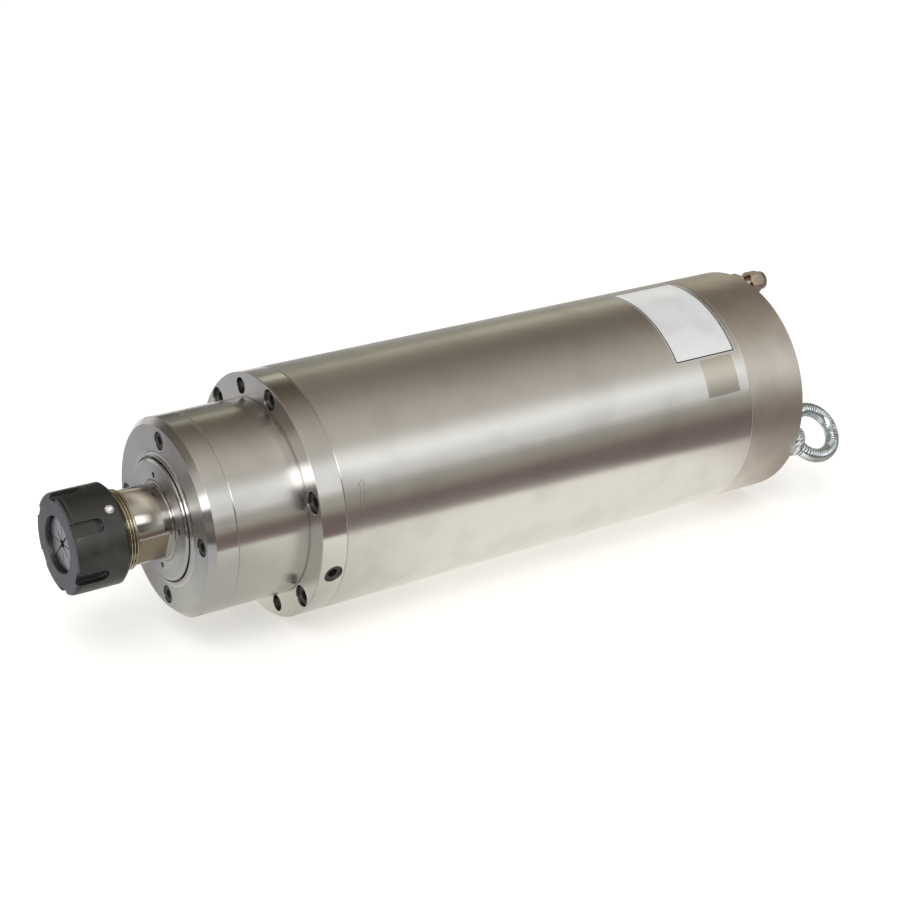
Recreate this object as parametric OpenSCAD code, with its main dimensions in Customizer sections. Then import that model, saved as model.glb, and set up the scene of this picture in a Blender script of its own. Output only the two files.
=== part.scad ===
// Water-cooled motor spindle with a collet nose.
// The spindle axis is X, with the nose towards -X. The origin is the centre of the flange's
// front face. Angles round the axis are measured from +Y towards +Z.

/* [Housing] */
// Diameter of the barrel, the flange and the rear cover
body_d = 125; // [124.5:0.5:128]
// Thickness of the front flange
flange_t = 14; // [13.5:0.5:15]
// Length of the barrel
barrel_len = 256.4; // [256:0.2:260]
// Length of the rear cover
rear_len = 37.6; // [37:0.2:40]
// Bore of the barrel
barrel_bore_d = 101.6; // [101.4:0.1:102]

/* [Nose] */
// Diameter of the nose in front of the flange
nose_d = 100; // [99:0.5:101]
// Length of the nose up to the front cover
nose_len = 37.8; // [37.8:0.1:38.2]
// Thickness of the front cover
cover_t = 14.8; // [14.8:0.1:15.2]
// Chamfer round the front cover
cover_chamfer = 3.2; // [2:0.2:3.6]
// Diameter of the slinger disc
slinger_d = 60.8; // [60:0.1:60.9]
// How far the slinger stands out of the front cover
slinger_proud = 2.9; // [2.5:0.1:3]

/* [Shaft] */
// Diameter of the ground neck behind the nut
neck_d = 37.2; // [36.8:0.1:37.6]
// Outside diameter of the nut's thread on the shaft
thread_d = 39.9; // [39.86:0.01:39.94]
// Distance across the two wrench flats
flats_width = 34; // [33.6:0.1:34.4]
// Direction of the first wrench flat
flat_angle = 203.5; // [0:0.5:360]

/* [Collet and nut] */
// Outside diameter of the collet nut
nut_d = 50; // [49.6:0.1:50.4]
// Length of the collet nut
nut_len = 26.7; // [26.5:0.1:27]
// Opening in the front of the nut
nut_opening_d = 28; // [27.9:0.1:28.4]
// Width of a spanner slot in the nut
nut_slot_w = 7.4; // [6.5:0.1:8]
// Depth of a spanner slot in the nut
nut_slot_depth = 3.2; // [2.5:0.1:3.4]
// Length of a spanner slot in the nut
nut_slot_len = 15.7; // [14:0.1:16]
// Number of spanner slots in the nut
nut_slots = 6; // [4:1:6]
// Direction of the first spanner slot
nut_slot_angle = 24.7; // [0:0.1:60]
// Bore of the collet
collet_bore_d = 4; // [4:0.5:6]
// Slits cut into each end of the collet
collet_slits = 8; // [6:2:8]
// Width of a slit in the collet
slit_w = 0.45; // [0.3:0.05:0.5]

/* [Fasteners] */
// Radius of the flange screws' circle
flange_screw_r = 56.3; // [56:0.1:56.4]
// Direction of the first flange screw
flange_screw_angle = 44.5; // [40:0.5:50]
// Radius of the circle of the two threaded mounting holes
mount_hole_r = 55.6; // [55:0.1:56]
// Core diameter of a threaded mounting hole
mount_hole_d = 8.5; // [8.3:0.1:8.7]
// Radius of the cover screws' circle
cover_screw_r = 40.5; // [40:0.1:41]
// Radius of the rear screws' circle, which the fittings share
rear_circle_r = 55.5; // [55:0.1:55.8]

/* [Rear] */
// Direction of the inlet fitting
inlet_angle = 88.6; // [86:0.1:90]
// Direction of the outlet fitting
outlet_angle = 21.3; // [20:0.1:24]
// Width across the flats of a fitting nut
fitting_flats = 11; // [10:0.5:12]
// Hose bore of a fitting
hose_bore_d = 6; // [5:0.5:7]
// Diameter of the threaded shell of the power socket
socket_d = 24; // [22:0.5:25]
// Direction of the eye bolt
eye_angle = 201.3; // [198:0.1:204]
// Distance of the eye bolt from the axis
eye_r = 55.8; // [55:0.1:56]
// Turn of the eye's ring about its own screw
eye_turn = 50; // [0:1:180]
// Inside diameter of the eye
eye_hole_d = 20; // [19:0.5:21]
// Thickness of the eye's ring
eye_wire_d = 8; // [7:0.5:8.5]

/* [Bearings] */
// Bore of a front bearing
front_bore_d = 40; // [40:1:40]
// Outside diameter of a front bearing
front_od = 68; // [68:1:68]
// Width of a front bearing
front_w = 15; // [15:1:15]
// Diameter of a front ball
front_ball_d = 7.1; // [6.9:0.1:7.2]
// Balls in a front bearing
front_balls_n = 18; // [14:1:18]
// Bore of a rear bearing
rear_bore_d = 30; // [30:1:30]
// Outside diameter of a rear bearing
rear_od = 55; // [55:1:55]
// Width of a rear bearing
rear_w = 13; // [13:1:13]
// Diameter of a rear ball
rear_ball_d = 6.3; // [6:0.1:6.4]
// Balls in a rear bearing
rear_balls_n = 16; // [12:1:16]

/* [Motor] */
// Outside diameter of the stator core
stator_d = 90; // [88:1:90]
// Bore of the stator core
stator_bore_d = 50; // [50:0.2:51]
// Length of the stator and rotor cores
core_len = 140; // [120:5:140]
// Slots in the stator core
stator_slots = 24; // [18:6:24]
// Diameter of the rotor core
rotor_d = 49.2; // [48:0.2:49.4]
// Bars in the rotor cage
rotor_bars = 20; // [16:1:20]

/* [Hidden] */

$fn = 96;
eps = 0.01;
slip = 0.05;              // radial gap of a part that slides into another
edge = 0.3;               // broken edge of a turned part
body_r = body_d / 2;
nose_r = nose_d / 2;
bore_r = barrel_bore_d / 2;

// Stations along the axis
cover_back_x = -nose_len;
cover_face_x = cover_back_x - cover_t;
slinger_face_x = cover_face_x - slinger_proud;
seam_x = flange_t;
rear_seam_x = flange_t + barrel_len;
rear_face_x = rear_seam_x + rear_len;
spigot_len = 16;          // reach of the flange into the barrel
spigot_x = seam_x + spigot_len;
screw_angles = [for (i = [0:5]) flange_screw_angle + 60 * i];
mount_hole_angles = [flange_screw_angle + 30, flange_screw_angle + 210];
plug_x = 8;

// Front bearings
front_gap = 10;           // spacer between the front bearings
front_a_x = cover_back_x + 1.8;
front_b_x = front_a_x + front_w + front_gap;
front_end_x = front_b_x + front_w;
front_pitch_r = (front_bore_d + front_od) / 4;
front_clear_r = 26;       // way through the flange behind the bearings

// Slinger and the lip of the front cover round it
slinger_r = slinger_d / 2;
slinger_t = 5.2;
lip_gap = 0.5;            // gap of the labyrinth
lip_proud = 1.5;
hub_r = 24;               // slinger's hub, inside the front cover
pin_hole_r = 1.5;
pin_circle_r = 23;
pin_angle = 84.6;

// Shaft
thread_r = thread_d / 2;
neck_r = neck_d / 2;
thread_end_x = slinger_face_x - 18.9;
shoulder_r = 23.5;
rotor_seat_r = 17.5;
flat_x0 = slinger_face_x - 17;
flat_x1 = slinger_face_x - 3.5;
flat_cutter_r = 3;

// Collet, measured from its own front face
collet_x = -105;
collet_len = 40;
collet_face_r = 13.7;
collet_shoulder_r = 16.5;
cone_len = (collet_shoulder_r - collet_face_r) / tan(30);
groove_s0 = cone_len + 0.6;
groove_s1 = groove_s0 + 2.9;
groove_r = 14.4;
taper_angle = 8;
taper_r0 = 16.45;
shaft_face_s = groove_s1 + 1;
shaft_face_x = collet_x + shaft_face_s;
slit_len = 34;

// Nut
nut_r = nut_d / 2;
nut_face_x = collet_x - 2.5;
nut_back_x = nut_face_x + nut_len;
nut_bevel = 2.4;
nut_back_bevel = 1.9;
nut_bore_r = 20;
lip_offset = 1.3;         // the extraction lip is eccentric, so the collet snaps in
dimple_r = 2.1;
dimple_x = nut_back_x - 6.2;
dimple_angle = 130;

// Motor
core_x0 = spigot_x + 34;
core_x1 = core_x0 + core_len;
jacket_x0 = spigot_x + 2;
jacket_x1 = jacket_x0 + 190;
jacket_wall_r = stator_d / 2 + slip;
end_turn_len = 21;
slot_depth = 11;

// Rear bearings and their housing
rear_housing_x0 = jacket_x1 + 4;
rear_a_x = rear_housing_x0 + 9;
rear_gap = 3;
rear_b_x = rear_a_x + rear_w + rear_gap;
rear_end_x = rear_b_x + rear_w;
rear_pitch_r = (rear_bore_d + rear_od) / 4;
spring_t = 0.7;           // thickness of a disc spring
spring_rise = 0.4;        // height of its cone
spring_stack = 2 * (spring_t + spring_rise);

// Rear cover
cavity_r = 44;
end_wall = 12;
cavity_end_x = rear_face_x - end_wall;
channel_r = 2.5;          // drilled water channel
fitting_angles = [inlet_angle, outlet_angle];

// Fittings
fitting_hex_x = rear_face_x + 11;
fitting_hex_len = 8.4;
fitting_end_len = 4;
fitting_base_len = 5;
fitting_neck_r = 4.5;
ribs_n = 16;

// Power socket
socket_r = socket_d / 2;
socket_flange_w = 32;
socket_flange_t = 3;
socket_len = 15;
socket_bore_r = socket_r - 2;
socket_back_x = cavity_end_x - 8;
insert_x = rear_face_x + 6;
pins_n = 4;
pin_r = 1.25;
pin_ring_r = 5.5;
lead_r = 1.5;
lead_circle_r = 36;
lead_angles = [118, 130, 142];
lead_pins = [45, 135, 225];
lead_turn_x = rear_end_x + 16;

// A ring or disc turned about the X axis, from points that give radius and station
module turned(points) {
    rotate([0, 90, 0]) rotate_extrude() polygon(points);
}

module rod(x0, x1, r) {
    translate([x0, 0, 0]) rotate([0, 90, 0]) cylinder(h = x1 - x0, r = r);
}

module ring(x0, x1, r_out, r_in) {
    turned([[r_in, x0], [r_out, x0], [r_out, x1], [r_in, x1]]);
}

// Copies a shape to each angle, at a radius along its own +Y
module around(angles, r = 0) {
    for (a = angles) rotate([a, 0, 0]) translate([0, r, 0]) children();
}

function spread(n, first = 0) = [for (i = [0:n - 1]) first + 360 / n * i];

// A socket screw along +X: x is the seat under its head, and the head lies before it
module socket_screw(x, d, len) {
    difference() {
        union() {
            rod(x - d, x, d * 0.83);
            rod(x - eps, x + len, d / 2);
        }
        rod(x - d - eps, x - d * 0.45, d * 0.48, $fn = 6);
    }
}

// The room that such a screw needs: its counterbore and its hole
module screw_room(x_face, x, d, len) {
    rod(x_face - eps, x, d * 0.92);
    rod(x - eps, x + len, d / 2 + 0.2);
}

module front_flange() {
    seat_r = front_od / 2 + 0.02;
    relief_w = 0.8;
    relief_r = nose_r - 0.6;
    color([0.80, 0.79, 0.77]) difference() {
        turned([[seat_r, cover_back_x], [nose_r - edge, cover_back_x],
            [nose_r, cover_back_x + edge], [nose_r, -relief_w], [relief_r, -relief_w],
            [relief_r, 0], [body_r - edge, 0], [body_r, edge],
            [body_r, seam_x - edge], [body_r - edge, seam_x], [bore_r - slip, seam_x],
            [bore_r - slip, seam_x + 5], [bore_r - 2, seam_x + 5], [bore_r - 2, seam_x + 8],
            [bore_r - slip, seam_x + 8], [bore_r - slip, spigot_x - 1],
            [bore_r - slip - 1, spigot_x], [front_clear_r, spigot_x],
            [front_clear_r, front_end_x], [seat_r, front_end_x]]);
        around(screw_angles, flange_screw_r) screw_room(0, 7.5, 6, 7);
        around(mount_hole_angles, mount_hole_r) rod(-eps, 12, mount_hole_d / 2);
        around(spread(4), cover_screw_r) rod(cover_back_x - eps, cover_back_x + 14, 2.6);
        around([eye_angle]) translate([plug_x, body_r - 12, 0]) rotate([-90, 0, 0])
            cylinder(h = 20, r = 5);
    }
}

module flange_screws() {
    color([0.12, 0.12, 0.13]) around(screw_angles, flange_screw_r) socket_screw(7.5, 6, 18);
}

module flange_plug() {
    color([0.14, 0.14, 0.15]) around([eye_angle]) translate([plug_x, 0, 0])
        rotate([0, 0, 90]) difference() {
            rod(body_r - 12, body_r - 0.9, 5 - slip);
            rod(body_r - 4, body_r, 2.9, $fn = 6);
        }
}

module front_cover() {
    fillet_r = 3.2;
    fillet_h = 1.15;
    lip_face_x = cover_face_x - lip_proud;
    lip_in_r = slinger_r + 1;
    lip_out_r = lip_in_r + 1.1;
    pocket_x = slinger_face_x + slinger_t + lip_gap;
    back_relief_x = cover_back_x - 1;
    color([0.76, 0.75, 0.74]) difference() {
        turned(concat([[hub_r + lip_gap, back_relief_x], [30, back_relief_x],
            [30, front_a_x], [front_od / 2 - slip, front_a_x],
            [front_od / 2 - slip, cover_back_x], [nose_r - edge, cover_back_x],
            [nose_r, cover_back_x - edge], [nose_r, cover_face_x + cover_chamfer],
            [nose_r - cover_chamfer, cover_face_x]],
            [for (a = [0:15:90]) [lip_out_r + fillet_r - fillet_r * sin(a),
                cover_face_x - fillet_h + fillet_h * cos(a)]],
            [[lip_out_r, lip_face_x + 0.3], [lip_out_r - 0.3, lip_face_x],
            [lip_in_r + 0.3, lip_face_x], [lip_in_r, lip_face_x + 0.3],
            [lip_in_r, pocket_x], [hub_r + lip_gap, pocket_x]]));
        around(spread(4), cover_screw_r) screw_room(cover_face_x, cover_face_x + 5.4, 5, 12);
    }
}

module cover_screws() {
    color([0.12, 0.12, 0.13]) around(spread(4), cover_screw_r)
        socket_screw(cover_face_x + 5.4, 5, 20);
}

module slinger() {
    hub_x = slinger_face_x + slinger_t;
    seat_r = front_bore_d / 2 + 0.02;
    color([0.78, 0.77, 0.76]) difference() {
        turned([[seat_r + 0.6, slinger_face_x], [slinger_r - 1.2, slinger_face_x],
            [slinger_r - 0.3, slinger_face_x + 0.5], [slinger_r, slinger_face_x + 1.1],
            [slinger_r, hub_x], [hub_r, hub_x], [hub_r, front_a_x],
            [seat_r, front_a_x], [seat_r, slinger_face_x + 0.6]]);
        around(spread(4, pin_angle), pin_circle_r)
            rod(slinger_face_x - eps, slinger_face_x + 3.6, pin_hole_r);
    }
}

function taper_r(x) = taper_r0 - tan(taper_angle) * (x - collet_x - groove_s1);

// One wrench flat, cut with a round cutter that leaves a run-out at each end
module wrench_flat(a) {
    floor_r = flats_width / 2;
    rotate([a, 0, 0]) {
        translate([flat_x0, floor_r, -20]) cube([flat_x1 - flat_x0, 12, 40]);
        for (x = [flat_x0, flat_x1])
            translate([x, floor_r + flat_cutter_r, -20]) cylinder(h = 40, r = flat_cutter_r);
    }
}

module spindle_shaft() {
    seat_r = front_bore_d / 2;
    fillet = seat_r - neck_r - 0.1;
    taper_end_x = collet_x + collet_len + 1;
    back_bore_r = 11;
    tail_r = rear_bore_d / 2;
    tail_x = rear_end_x + 10;
    color([0.82, 0.81, 0.79]) difference() {
        turned(concat([[0, shaft_face_x], [thread_r - 1, shaft_face_x],
            [thread_r, shaft_face_x + 1], [thread_r, thread_end_x - 0.8],
            [neck_r, thread_end_x + 0.5]],
            [for (a = [0:15:90]) [neck_r + fillet - fillet * cos(a),
                slinger_face_x - 0.2 - fillet + fillet * sin(a)]],
            [[seat_r, slinger_face_x], [seat_r, front_end_x], [shoulder_r, front_end_x],
            [shoulder_r, front_end_x + 8], [rotor_seat_r + 1, front_end_x + 8],
            [rotor_seat_r + 1, core_x0 - 10], [rotor_seat_r, core_x0 - 10],
            [rotor_seat_r, rear_a_x], [tail_r, rear_a_x], [tail_r, tail_x - 1],
            [tail_r - 1, tail_x], [0, tail_x]]));
        turned([[0, shaft_face_x - eps], [taper_r(shaft_face_x) + slip, shaft_face_x - eps],
            [taper_r(taper_end_x) + slip, taper_end_x], [back_bore_r, taper_end_x],
            [back_bore_r, taper_end_x + 34], [0, taper_end_x + 40]]);
        wrench_flat(flat_angle);
        wrench_flat(flat_angle + 180);
    }
}

module collet() {
    bore_r0 = collet_bore_d / 2;
    end_r = taper_r(collet_x + collet_len - 0.5);
    relief_s = 26;
    relief_r = 4;
    color([0.55, 0.55, 0.56]) difference() {
        turned([[bore_r0, collet_x], [collet_face_r - 0.4, collet_x],
            [collet_face_r, collet_x + 0.4], [collet_shoulder_r, collet_x + cone_len + 0.4],
            [collet_shoulder_r, collet_x + groove_s0], [groove_r, collet_x + groove_s0],
            [groove_r, collet_x + groove_s1], [taper_r0, collet_x + groove_s1],
            [end_r, collet_x + collet_len - 0.5], [end_r - 0.5, collet_x + collet_len],
            [relief_r, collet_x + collet_len], [relief_r, collet_x + relief_s],
            [bore_r0, collet_x + relief_s]]);
        around(spread(collet_slits)) translate([collet_x - 1, 0, -slit_w / 2])
            cube([slit_len + 1, 20, slit_w]);
        around(spread(floor(collet_slits / 2), 360 / collet_slits))
            translate([collet_x - 1, 0, -slit_w]) cube([slit_len + 1, 6.5, 2 * slit_w]);
        around(spread(collet_slits, 180 / collet_slits))
            translate([collet_x + collet_len - slit_len, 0, -slit_w / 2])
            cube([slit_len + 1, 20, slit_w]);
    }
}

// A spanner slot, open at the nut's face and round at its inner end
module nut_slot() {
    end_x = nut_face_x + nut_slot_len - nut_slot_w / 2;
    floor_r = nut_r - nut_slot_depth;
    translate([end_x, floor_r, 0]) rotate([-90, 0, 0]) cylinder(h = 10, r = nut_slot_w / 2);
    translate([nut_face_x - 1, floor_r, -nut_slot_w / 2])
        cube([end_x - nut_face_x + 1, 10, nut_slot_w]);
}

module collet_nut() {
    open_r = nut_opening_d / 2;
    cone_gap = 0.08;
    cone_x = collet_x + 0.4 + (open_r - collet_face_r - cone_gap) / tan(30);
    cone_end_r = collet_shoulder_r + 0.2;
    cone_end_x = cone_x + (cone_end_r - open_r) / tan(30);
    lip_x0 = collet_x + groove_s0 + 0.25;
    lip_x1 = collet_x + groove_s1 - 0.25;
    lip_r = groove_r + lip_offset + 0.25;
    relief_r = collet_shoulder_r + 0.6;
    color([0.13, 0.13, 0.14]) difference() {
        turned(concat([[0, nut_face_x]],
            [for (a = [0:18:90]) [nut_r - nut_bevel + nut_bevel * sin(a),
                nut_face_x + nut_bevel - nut_bevel * cos(a)]],
            [[nut_r, nut_back_x - nut_back_bevel],
            [nut_r - nut_back_bevel, nut_back_x], [0, nut_back_x]]));
        turned([[0, nut_face_x - eps], [open_r + 0.5, nut_face_x - eps],
            [open_r, nut_face_x + 0.5], [open_r, cone_x], [cone_end_r, cone_end_x],
            [relief_r, cone_end_x], [relief_r, lip_x0], [0, lip_x0]]);
        translate([0, lip_offset, 0]) rod(lip_x0 - eps, lip_x1 + eps, lip_r);
        turned([[0, lip_x1], [relief_r, lip_x1], [nut_bore_r, lip_x1 + 0.4],
            [nut_bore_r, nut_back_x - 0.8],
            [nut_bore_r + 0.9, nut_back_x + 0.1], [0, nut_back_x + 0.1]]);
        around(spread(nut_slots, nut_slot_angle)) nut_slot();
        around([dimple_angle]) translate([dimple_x, nut_r, 0]) rotate([90, 0, 0]) {
            cylinder(h = 0.8, r = dimple_r);
            translate([0, 0, 0.8 - eps]) cylinder(h = 1.2, r1 = dimple_r, r2 = 0);
            translate([0, 0, -1]) cylinder(h = 1 + eps, r = dimple_r);
        }
    }
}

module barrel() {
    outlet_x = jacket_x0 + 8;
    inlet_x = jacket_x1 - 8;
    port_x = [inlet_x, outlet_x];
    color([0.83, 0.81, 0.78]) difference() {
        turned([[bore_r, seam_x], [body_r - edge, seam_x], [body_r, seam_x + edge],
            [body_r, rear_seam_x - edge], [body_r - edge, rear_seam_x],
            [bore_r, rear_seam_x]]);
        around(screw_angles, flange_screw_r) rod(seam_x - eps, seam_x + 14, 3.2);
        around(screw_angles, rear_circle_r) rod(rear_seam_x - 14, rear_seam_x + eps, 3.2);
        for (i = [0, 1]) around([fitting_angles[i]]) {
            translate([0, rear_circle_r, 0]) rod(port_x[i], rear_seam_x + eps, channel_r);
            translate([port_x[i], bore_r - 1, 0]) rotate([-90, 0, 0])
                cylinder(h = rear_circle_r - bore_r + 1, r = channel_r);
        }
    }
}

module water_jacket() {
    groove_w = 9;
    land_w = 3.5;
    groove_depth = 3.4;
    pitch = groove_w + land_w;
    first_x = jacket_x0 + 10;
    grooves = floor((jacket_x1 - jacket_x0 - 20) / pitch);
    gland_w = 3;
    out_r = bore_r - slip;
    color([0.72, 0.74, 0.77]) difference() {
        ring(jacket_x0, jacket_x1, out_r, jacket_wall_r);
        for (i = [0:grooves - 1]) {
            ring(first_x + i * pitch, first_x + i * pitch + groove_w, out_r + 1,
                out_r - groove_depth);
            if (i < grooves - 1) around([i % 2 == 0 ? 60 : 240])
                translate([first_x + i * pitch + groove_w - eps, out_r - groove_depth, -7])
                cube([land_w + 2 * eps, 10, 14]);
        }
        for (x = [jacket_x0 + 2, jacket_x1 - 2 - gland_w])
            ring(x, x + gland_w, out_r + 1, out_r - 1.95);
    }
}

module seal(x, r_in, r_out) {
    wire_r = (r_out - r_in) / 2;
    translate([x, 0, 0]) rotate([0, 90, 0]) rotate_extrude()
        translate([r_in + wire_r, 0]) circle(r = wire_r, $fn = 24);
}

module jacket_seals() {
    gap = 0.03;
    color([0.1, 0.1, 0.1]) {
        seal(seam_x + 6.5, bore_r - 2 + gap, bore_r - gap);
        seal(jacket_x0 + 3.5, bore_r - slip - 1.95 + gap, bore_r - gap);
        seal(jacket_x1 - 3.5, bore_r - slip - 1.95 + gap, bore_r - gap);
        seal(rear_housing_x0 + 6.5, bore_r - 2 + gap, bore_r - gap);
    }
}

module stator_core() {
    slot_bottom_r = stator_bore_d / 2 + slot_depth;
    mouth_r = stator_bore_d / 2;
    color([0.45, 0.46, 0.48]) difference() {
        ring(core_x0, core_x1, stator_d / 2, mouth_r);
        around(spread(stator_slots)) {
            translate([core_x0 - 1, mouth_r - 1, -0.9]) cube([core_len + 2, 4, 1.8]);
            translate([core_x0 - 1, mouth_r + 2, -2.2])
                cube([core_len + 2, slot_bottom_r - mouth_r - 4.2, 4.4]);
            translate([0, slot_bottom_r - 2.2, 0]) rod(core_x0 - 1, core_x1 + 1, 2.2);
        }
    }
}

module stator_winding() {
    slot_in_r = stator_bore_d / 2 + 2.3;
    slot_out_r = stator_bore_d / 2 + slot_depth - 2.2;
    turn_in_r = slot_in_r - 1;
    turn_out_r = stator_d / 2 - 2.5;
    round_r = 4;
    // The overhang of the coils beyond one end of the core, rounded at its far end
    module end_turn(root_x, len) {
        side = sign(len);
        centre_x = root_x + len - side * round_r;
        turned(concat([[turn_in_r, root_x]],
            [for (a = [0:30:90]) [turn_in_r + round_r - round_r * cos(a),
                centre_x + side * round_r * sin(a)]],
            [for (a = [0:30:90]) [turn_out_r - round_r + round_r * sin(a),
                centre_x + side * round_r * cos(a)]],
            [[turn_out_r, root_x]]));
    }
    color([0.66, 0.34, 0.16]) union() {
        end_turn(core_x0 - 1, -end_turn_len);
        end_turn(core_x1 + 1, end_turn_len - 3);
        around(spread(stator_slots)) translate([core_x0 - 3, slot_in_r, -1.9])
            cube([core_len + 6, slot_out_r - slot_in_r, 3.8]);
    }
}

// A wire from one line along X to another, with two round bends and a cross run at turn_x
module stepped_wire(x0, turn_x, x1, start, end, r) {
    bend_r = 4;
    lap = 0.2;
    span = end - start;
    module bend() {
        rotate_extrude(angle = 90) translate([bend_r, 0]) circle(r = r * 1.05, $fn = 24);
    }
    translate([0, start[0], start[1]]) rotate([atan2(span[1], span[0]), 0, 0]) {
        rod(x0, turn_x - bend_r + lap, r);
        translate([turn_x - bend_r, bend_r, 0]) rotate([0, 0, -90]) bend();
        translate([turn_x, bend_r - lap, 0]) rotate([-90, 0, 0])
            cylinder(h = norm(span) - 2 * (bend_r - lap), r = r);
        translate([turn_x + bend_r, norm(span) - bend_r, 0]) rotate([0, 0, 90]) bend();
        translate([0, norm(span), 0]) rod(turn_x + bend_r - lap, x1, r);
    }
}

module phase_leads() {
    start_x = core_x1 + end_turn_len - 2;
    color([0.6, 0.2, 0.15]) for (i = [0:2]) {
        lead = lead_circle_r * [cos(lead_angles[i]), sin(lead_angles[i])];
        pin = pin_ring_r * [cos(lead_pins[i]), sin(lead_pins[i])];
        stepped_wire(start_x, lead_turn_x, socket_back_x, lead, pin, lead_r);
    }
}

module rotor_core() {
    bar_circle_r = rotor_d / 2 - 3.6;
    color([0.42, 0.43, 0.45]) difference() {
        ring(core_x0, core_x1, rotor_d / 2, rotor_seat_r + 0.02);
        around(spread(rotor_bars), bar_circle_r) rod(core_x0 - 1, core_x1 + 1, 2);
    }
}

module rotor_cage() {
    bar_circle_r = rotor_d / 2 - 3.6;
    end_len = 10;
    color([0.70, 0.72, 0.74]) union() {
        ring(core_x0 - end_len, core_x0, rotor_d / 2 - 0.6, rotor_seat_r + 0.02);
        ring(core_x1, core_x1 + end_len, rotor_d / 2 - 0.6, rotor_seat_r + 0.02);
        around(spread(rotor_bars), bar_circle_r) rod(core_x0 - 1, core_x1 + 1, 1.95);
    }
}

// An outer bearing ring with its ball groove, open on the side that open_side gives
module outer_ring(x, bore, od, w, ball_d, open_side) {
    pitch_r = (bore + od) / 4;
    land_r = pitch_r + ball_d * 0.28;
    open_r = pitch_r + ball_d * 0.40;
    front_land_r = open_side < 0 ? open_r : land_r;
    back_land_r = open_side < 0 ? land_r : open_r;
    mid_x = x + w / 2;
    difference() {
        turned([[front_land_r, x], [od / 2 - 0.6, x], [od / 2, x + 0.6], [od / 2, x + w - 0.6],
            [od / 2 - 0.6, x + w], [back_land_r, x + w], [back_land_r, mid_x],
            [front_land_r, mid_x]]);
        translate([mid_x, 0, 0]) rotate([0, 90, 0]) rotate_extrude()
            translate([pitch_r, 0]) circle(r = ball_d / 2 + slip, $fn = 48);
    }
}

module inner_ring(x, bore, od, w, ball_d) {
    pitch_r = (bore + od) / 4;
    land_r = pitch_r - ball_d * 0.28;
    mid_x = x + w / 2;
    difference() {
        turned([[bore / 2 + 0.01, x + 0.6], [bore / 2 + 0.6, x], [land_r, x], [land_r, x + w],
            [bore / 2 + 0.6, x + w], [bore / 2 + 0.01, x + w - 0.6]]);
        translate([mid_x, 0, 0]) rotate([0, 90, 0]) rotate_extrude()
            translate([pitch_r, 0]) circle(r = ball_d / 2 + slip, $fn = 48);
    }
}

module ball_row(x, bore, od, w, ball_d, n) {
    around(spread(n), (bore + od) / 4) translate([x + w / 2, 0, 0]) sphere(d = ball_d, $fn = 32);
}

module cage(x, bore, od, w, ball_d, n) {
    pitch_r = (bore + od) / 4;
    cage_r0 = pitch_r - ball_d * 0.18;
    cage_r1 = pitch_r + ball_d * 0.18;
    difference() {
        ring(x + 1.6, x + w - 1.6, cage_r1, cage_r0);
        around(spread(n), cage_r0 - 1) translate([x + w / 2, 0, 0]) rotate([-90, 0, 0])
            cylinder(h = cage_r1 - cage_r0 + 2, r = ball_d / 2 + 0.12, $fn = 32);
    }
}

module front_outer_rings() {
    color([0.70, 0.71, 0.73]) {
        outer_ring(front_a_x, front_bore_d, front_od, front_w, front_ball_d, -1);
        outer_ring(front_b_x, front_bore_d, front_od, front_w, front_ball_d, 1);
    }
}

module front_inner_rings() {
    color([0.74, 0.75, 0.77]) for (x = [front_a_x, front_b_x])
        inner_ring(x, front_bore_d, front_od, front_w, front_ball_d);
}

module front_balls() {
    color([0.85, 0.86, 0.88]) for (x = [front_a_x, front_b_x])
        ball_row(x, front_bore_d, front_od, front_w, front_ball_d, front_balls_n);
}

module front_cages() {
    color([0.62, 0.48, 0.30]) for (x = [front_a_x, front_b_x])
        cage(x, front_bore_d, front_od, front_w, front_ball_d, front_balls_n);
}

module front_outer_spacer() {
    color([0.6, 0.61, 0.63])
        ring(front_a_x + front_w, front_b_x, front_od / 2 - slip, front_od / 2 - 4);
}

module front_inner_spacer() {
    color([0.6, 0.61, 0.63])
        ring(front_a_x + front_w, front_b_x, front_bore_d / 2 + 4, front_bore_d / 2 + 0.02);
}

module rear_housing() {
    seal_x = rear_housing_x0 + 5;
    shoulder_x = rear_a_x - spring_stack;
    pass_r = rotor_seat_r + 1.5;
    color([0.68, 0.68, 0.67]) difference() {
        turned([[pass_r, rear_housing_x0], [bore_r - slip, rear_housing_x0],
            [bore_r - slip, seal_x], [bore_r - 2, seal_x], [bore_r - 2, seal_x + 3],
            [bore_r - slip, seal_x + 3], [bore_r - slip, rear_end_x],
            [rear_od / 2 + slip, rear_end_x], [rear_od / 2 + slip, shoulder_x],
            [pass_r, shoulder_x]]);
        around(lead_angles, lead_circle_r)
            rod(rear_housing_x0 - eps, rear_end_x + eps, lead_r + 1.2);
    }
}

// Two disc springs, inner edges together, between the housing's shoulder and the bearing
module preload_springs() {
    in_r = rear_od / 2 - 5;
    out_r = rear_od / 2 - 0.9;
    mid_x = rear_a_x - spring_stack / 2;
    color([0.6, 0.62, 0.65]) for (side = [-1, 1])
        turned([[in_r, mid_x + side * eps], [out_r, mid_x + side * spring_rise],
            [out_r, mid_x + side * spring_stack / 2], [in_r, mid_x + side * spring_t]]);
}

module rear_outer_rings() {
    color([0.70, 0.71, 0.73]) {
        outer_ring(rear_a_x, rear_bore_d, rear_od, rear_w, rear_ball_d, -1);
        outer_ring(rear_b_x, rear_bore_d, rear_od, rear_w, rear_ball_d, 1);
    }
}

module rear_inner_rings() {
    color([0.74, 0.75, 0.77]) for (x = [rear_a_x, rear_b_x])
        inner_ring(x, rear_bore_d, rear_od, rear_w, rear_ball_d);
}

module rear_balls() {
    color([0.85, 0.86, 0.88]) for (x = [rear_a_x, rear_b_x])
        ball_row(x, rear_bore_d, rear_od, rear_w, rear_ball_d, rear_balls_n);
}

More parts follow.
